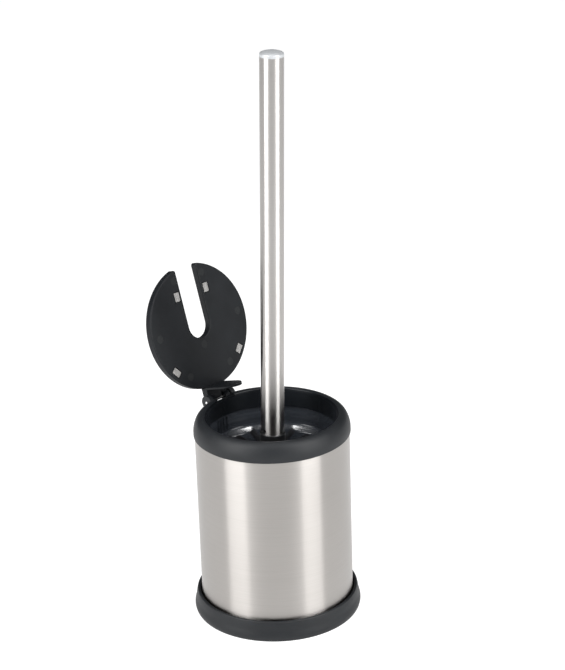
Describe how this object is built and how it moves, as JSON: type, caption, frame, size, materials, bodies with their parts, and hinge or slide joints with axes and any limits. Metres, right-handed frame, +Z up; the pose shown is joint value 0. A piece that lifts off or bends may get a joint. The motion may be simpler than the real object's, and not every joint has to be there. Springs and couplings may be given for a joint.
{
  "type": "toilet brush and holder",
  "caption": "Toilet brush with a tubular steel handle standing in a round brushed-steel holder with black plastic rim, foot ring and an open slotted hinged lid.",
  "frame": {"origin": "centre of the holder's underside", "axes": "+Z up; the lid's hinge pin is parallel to X on the +Y side; the lid's slot faces -Y when it is shut"},
  "size_m": [0.11, 0.1347, 0.3734],
  "materials": {
    "black_plastic": "satin moulded, near black",
    "lid_plastic": "fine moulded texture, near black",
    "core_plastic": "satin moulded, black",
    "gloss_liner": "glossy black with fine turning lines",
    "bristles": "black nylon bristle",
    "brushed_steel": "brushed round the cylinder",
    "handle_steel": "satin, fine brushing",
    "cover_steel": "brushed sheet",
    "pin_steel": "bright drawn wire"
  },
  "bodies": {
    "holder": {"base_ring": "black_plastic", "outer_sleeve": "brushed_steel", "top_collar": "black_plastic", "inner_cup": "gloss_liner", "hinge_pin": "pin_steel"},
    "lid": {"lid_panel": "lid_plastic", "lid_cover": "cover_steel"},
    "brush": {"handle_tube": "handle_steel", "handle_cap": "handle_steel", "brush_core": "core_plastic", "bristle_crown": "bristles", "bristle_row_1": "bristles", "bristle_row_2": "bristles", "bristle_row_3": "bristles", "bristle_row_4": "bristles", "bristle_row_5": "bristles", "bristle_row_6": "bristles", "bristle_row_7": "bristles", "bristle_row_8": "bristles", "bristle_row_9": "bristles", "bristle_row_10": "bristles"}
  },
  "joints": [
    {"name": "lid_hinge", "type": "hinge", "parent": "holder", "child": "lid", "pos_m": [0, 0.0485, 0.1336], "axis": [1, 0, 0], "range_deg": [0, 106.6]},
    {"name": "brush_lift", "type": "slide", "parent": "holder", "child": "brush", "axis": [0, -0.0419, 0.9991], "range_m": [0, 0.16], "deforming": ["bristle_row_1", "bristle_row_2", "bristle_row_3", "bristle_row_4", "bristle_row_5", "bristle_row_6", "bristle_row_7", "bristle_row_8", "bristle_row_9", "bristle_row_10", "bristle_crown"]}
  ]
}
